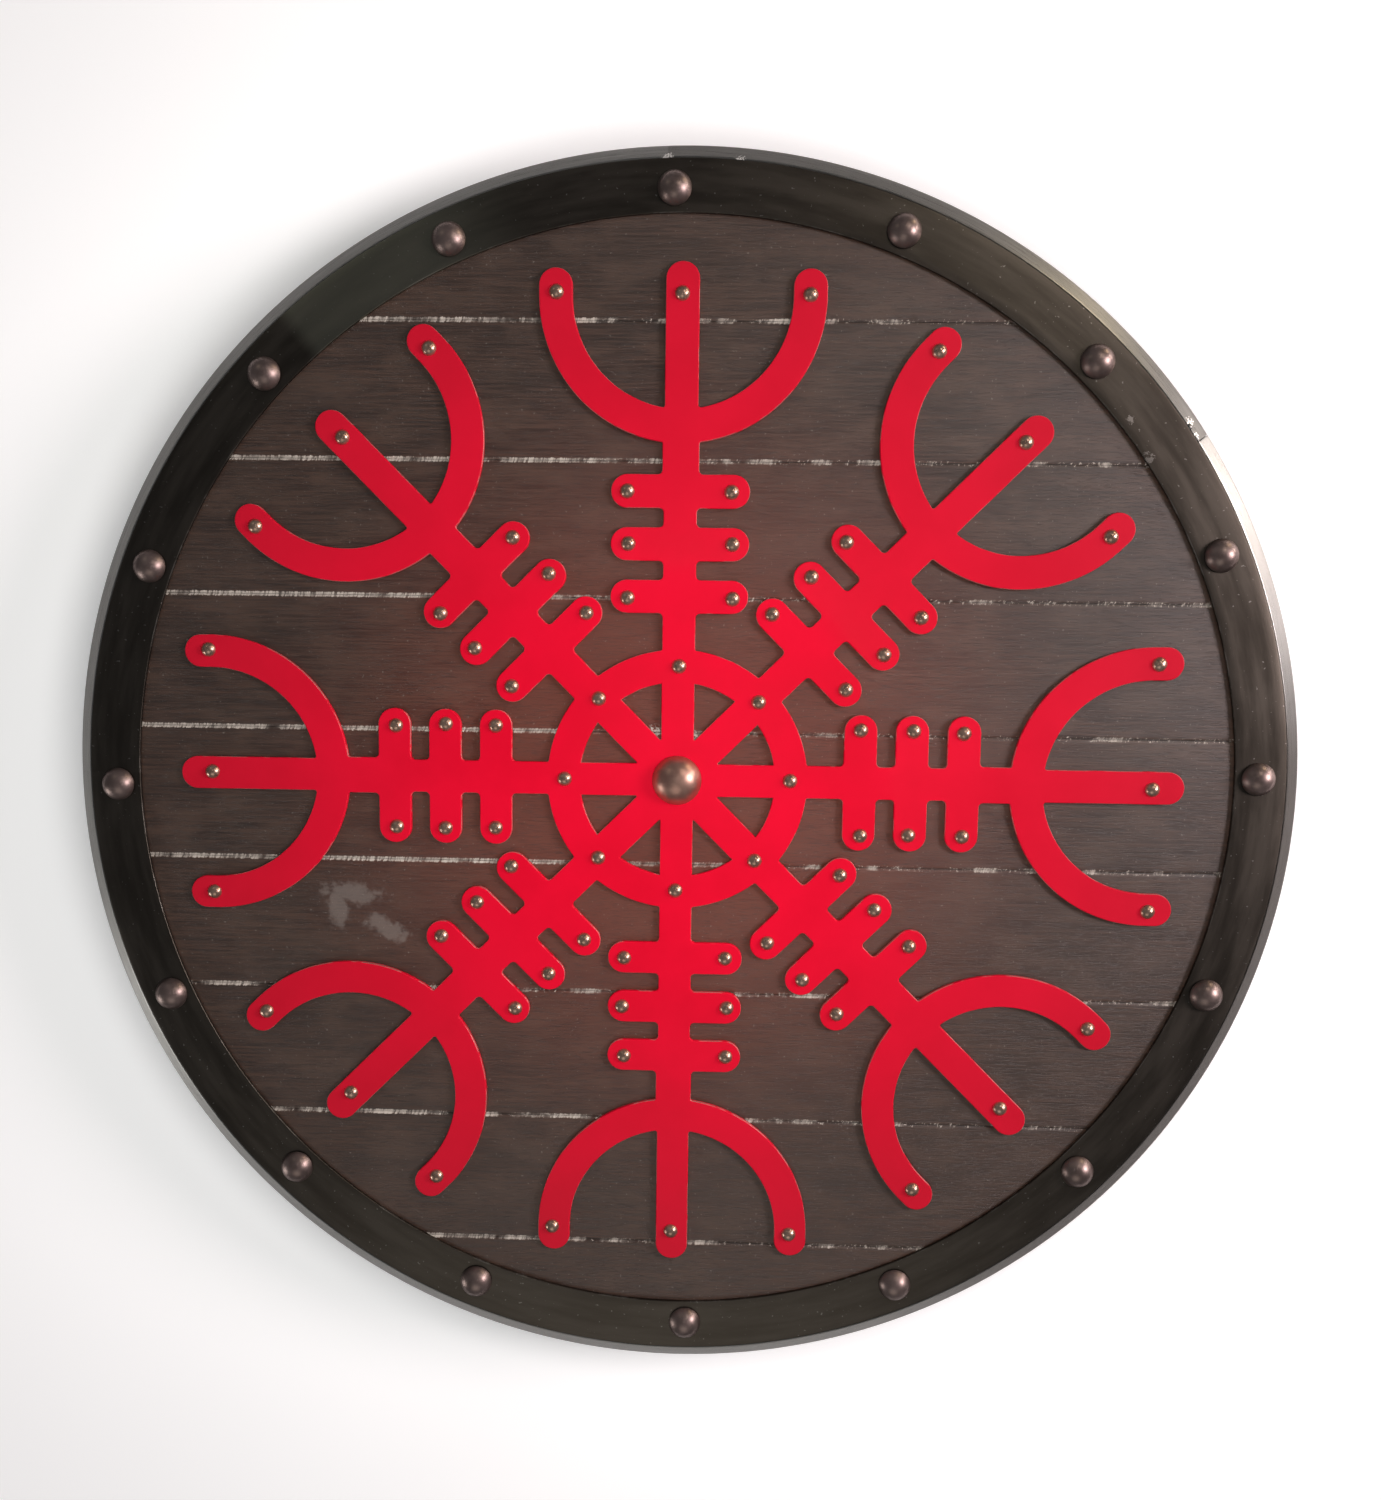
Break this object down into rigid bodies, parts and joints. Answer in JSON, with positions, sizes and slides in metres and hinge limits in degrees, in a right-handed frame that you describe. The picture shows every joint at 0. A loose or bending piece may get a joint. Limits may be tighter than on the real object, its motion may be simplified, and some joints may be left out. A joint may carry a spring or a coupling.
{
  "type": "wooden round shield",
  "caption": "Round shield of dark planks with a bevelled steel rim, dome studs, a red eight-armed sheet-metal emblem, and battens with a hand grip behind.",
  "frame": {"origin": "on the ground under the middle of the rim, with the shield lying on its back", "axes": "+Z out of the face, +Y up and +X right for someone facing the shield as it hangs"},
  "size_m": [0.6, 0.6, 0.0679],
  "materials": {
    "plank_wood": "dark brown-black stain, satin",
    "batten_wood": "brown stain, worn smooth",
    "black_steel": "blackened steel sheet, satin",
    "brushed_steel": "ground steel strip, brushed round the edge",
    "red_emblem": "red paint, satin, on sheet steel",
    "stud_copper": "dark copper patina, polished",
    "centre_stud_copper": "brown copper patina, polished",
    "screw_steel": "darkened steel"
  },
  "bodies": {
    "root": {"plank_1": "plank_wood", "plank_2": "plank_wood", "plank_3": "plank_wood", "plank_4": "plank_wood", "plank_5": "plank_wood", "plank_6": "plank_wood", "plank_7": "plank_wood", "plank_8": "plank_wood", "plank_9": "plank_wood", "rim_flange": "black_steel", "rim_hoop": "brushed_steel", "emblem": "red_emblem", "rim_stud_01": "stud_copper", "rim_stud_02": "stud_copper", "rim_stud_03": "stud_copper", "rim_stud_04": "stud_copper", "rim_stud_05": "stud_copper", "rim_stud_06": "stud_copper", "rim_stud_07": "stud_copper", "rim_stud_08": "stud_copper", "rim_stud_09": "stud_copper", "rim_stud_10": "stud_copper", "rim_stud_11": "stud_copper", "rim_stud_12": "stud_copper", "rim_stud_13": "stud_copper", "rim_stud_14": "stud_copper", "rim_stud_15": "stud_copper", "rim_stud_16": "stud_copper", "centre_stud": "centre_stud_copper", "batten_left": "batten_wood", "batten_right": "batten_wood", "grip": "batten_wood", "screw_left_1": "screw_steel", "screw_left_2": "screw_steel", "screw_left_3": "screw_steel", "screw_left_4": "screw_steel", "screw_left_5": "screw_steel", "screw_left_6": "screw_steel", "screw_right_1": "screw_steel", "screw_right_2": "screw_steel", "screw_right_3": "screw_steel", "screw_right_4": "screw_steel", "screw_right_5": "screw_steel", "screw_right_6": "screw_steel"}
  },
  "joints": []
}
